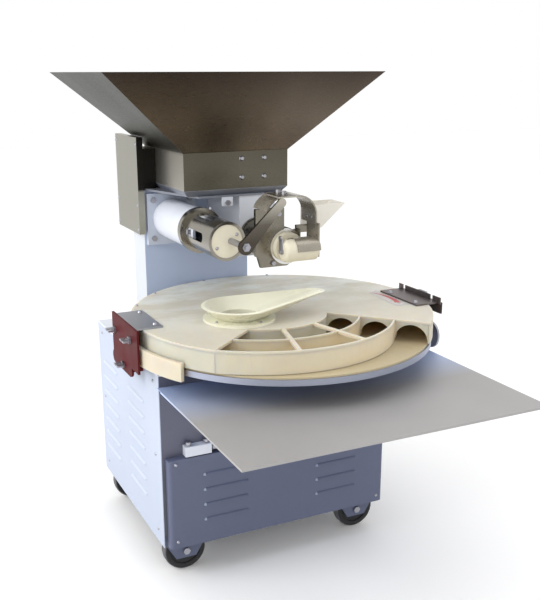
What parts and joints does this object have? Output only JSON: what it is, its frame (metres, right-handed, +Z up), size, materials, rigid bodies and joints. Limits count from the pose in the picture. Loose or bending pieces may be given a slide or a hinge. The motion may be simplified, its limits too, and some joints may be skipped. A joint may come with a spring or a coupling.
{
  "type": "dough divider rounder",
  "caption": "Dough divider and rounder on casters: hopper, screw extruder, rocking cutter, turning disc under a cream spiral cover, and a front tray",
  "frame": {"origin": "on the floor, under the middle of the whole machine's box", "axes": "+X to the machine's right seen by the operator, +Y to the back, +Z up"},
  "size_m": [0.9356, 1.2806, 1.382],
  "materials": {
    "frame_paint": "satin",
    "pale_paint": "satin",
    "slate_paint": "satin",
    "zinc": "satin",
    "wheel_black": "matte",
    "black_plastic": "matte",
    "stainless": "brushed",
    "bright_steel": "polished",
    "drive_iron": "matte",
    "nylon": "satin",
    "disc_metal": "satin",
    "cream_plastic": "satin",
    "ivory_plastic": "gloss",
    "red_paint": "satin"
  },
  "bodies": {
    "base": {"base_frame": "frame_paint", "left_panel": "pale_paint", "right_panel": "slate_paint", "rear_panel": "slate_paint", "front_upper_panel": "slate_paint", "front_lower_panel": "slate_paint", "top_deck": "slate_paint", "panel_screws": "zinc", "caster_forks": "slate_paint", "caster_axles": "zinc", "cable_gland": "black_plastic", "column": "slate_paint", "chain_cover": "stainless", "extruder_housing": "pale_paint", "hopper_seat": "pale_paint", "hopper": "stainless", "drive_chain": "drive_iron", "feed_gearmotor": "drive_iron", "cutter_drive_housing": "pale_paint", "adjuster_sleeve": "stainless", "end_cap": "nylon", "head_bolts": "zinc", "outlet_barrel": "stainless", "nozzle_collar": "bright_steel", "nozzle_ring": "nylon", "flour_box": "stainless", "bearing_housing": "drive_iron", "drive_gearmotor": "drive_iron", "bracket_links": "red_paint", "tray": "stainless", "tray_struts": "zinc", "tray_brackets": "pale_paint"},
    "turntable": {"turntable_disc": "disc_metal", "turntable_lining": "cream_plastic", "turntable_shaft": "zinc"},
    "cover": {"cover_plate": "cream_plastic", "outer_wall": "cream_plastic", "spiral_guide": "cream_plastic", "funnel": "ivory_plastic", "cover_screws": "zinc", "rim_guard": "cream_plastic", "left_bracket": "red_paint", "right_bracket": "drive_iron", "bracket_plates": "zinc"},
    "cutter": {"rocker_shaft": "zinc", "cutter_lever": "stainless", "cutter_yoke": "stainless", "yoke_bolts": "zinc", "cutter_drum": "nylon"},
    "wheel_fl": {"caster_wheel_fl": "wheel_black"},
    "wheel_fr": {"caster_wheel_fr": "wheel_black"},
    "wheel_rl": {"caster_wheel_rl": "wheel_black"},
    "wheel_rr": {"caster_wheel_rr": "wheel_black"},
    "feed_screw": {"feed_screw": "stainless"},
    "feed_roller": {"feed_roller": "stainless", "roller_sprocket": "drive_iron"},
    "drive_sprocket": {"drive_sprocket": "drive_iron"},
    "wing_upper": {"wing_bolt_upper": "zinc"},
    "wing_front": {"wing_bolt_front": "zinc"},
    "wing_lower": {"wing_bolt_lower": "zinc"}
  },
  "joints": [
    {"name": "wheel_fl_turn", "type": "hinge", "parent": "base", "child": "wheel_fl", "pos_m": [-0.32425, -0.04275, 0.0625], "axis": [0, 1, 0], "continuous": true},
    {"name": "wheel_fr_turn", "type": "hinge", "parent": "base", "child": "wheel_fr", "pos_m": [0.24375, -0.04275, 0.0625], "axis": [0, 1, 0], "continuous": true},
    {"name": "wheel_rl_turn", "type": "hinge", "parent": "base", "child": "wheel_rl", "pos_m": [-0.32425, 0.45325, 0.0625], "axis": [0, 1, 0], "continuous": true},
    {"name": "wheel_rr_turn", "type": "hinge", "parent": "base", "child": "wheel_rr", "pos_m": [0.24375, 0.45325, 0.0625], "axis": [0, 1, 0], "continuous": true},
    {"name": "turntable_turn", "type": "hinge", "parent": "base", "child": "turntable", "pos_m": [0.01275, -0.00075, 0.645], "axis": [0, 0, -1], "continuous": true},
    {"name": "cover_height", "type": "slide", "parent": "base", "child": "cover", "axis": [0, 0, 1], "range_m": [0, 0.012]},
    {"name": "cutter_rock", "type": "hinge", "parent": "base", "child": "cutter", "pos_m": [-0.15025, -0.01975, 0.94], "axis": [0, -1, 0], "range_deg": [0, 30]},
    {"name": "feed_roller_turn", "type": "hinge", "parent": "base", "child": "feed_roller", "pos_m": [-0.04725, 0.46925, 1.108], "axis": [1, 0, 0], "continuous": true},
    {"name": "drive_sprocket_turn", "type": "hinge", "parent": "base", "child": "drive_sprocket", "pos_m": [-0.24025, 0.49825, 0.95], "axis": [1, 0, 0], "continuous": true},
    {"name": "feed_screw_turn", "type": "hinge", "parent": "base", "child": "feed_screw", "pos_m": [0.01775, 0.20525, 0.911], "axis": [0, 1, 0], "continuous": true},
    {"name": "wing_upper_turn", "type": "hinge", "parent": "cover", "child": "wing_upper", "pos_m": [-0.43625, 0.13925, 0.686], "axis": [1, 0, 0], "continuous": true},
    {"name": "wing_front_turn", "type": "hinge", "parent": "cover", "child": "wing_front", "pos_m": [-0.43625, -0.00275, 0.694], "axis": [1, 0, 0], "continuous": true},
    {"name": "wing_lower_turn", "type": "hinge", "parent": "base", "child": "wing_lower", "pos_m": [-0.43025, 0.09625, 0.594], "axis": [1, 0, 0], "continuous": true}
  ],
  "couplings": [
    {"joint": "drive_sprocket_turn", "follows": "feed_roller_turn", "ratio": 1.5},
    {"joint": "feed_screw_turn", "follows": "feed_roller_turn", "ratio": 1.5}
  ]
}
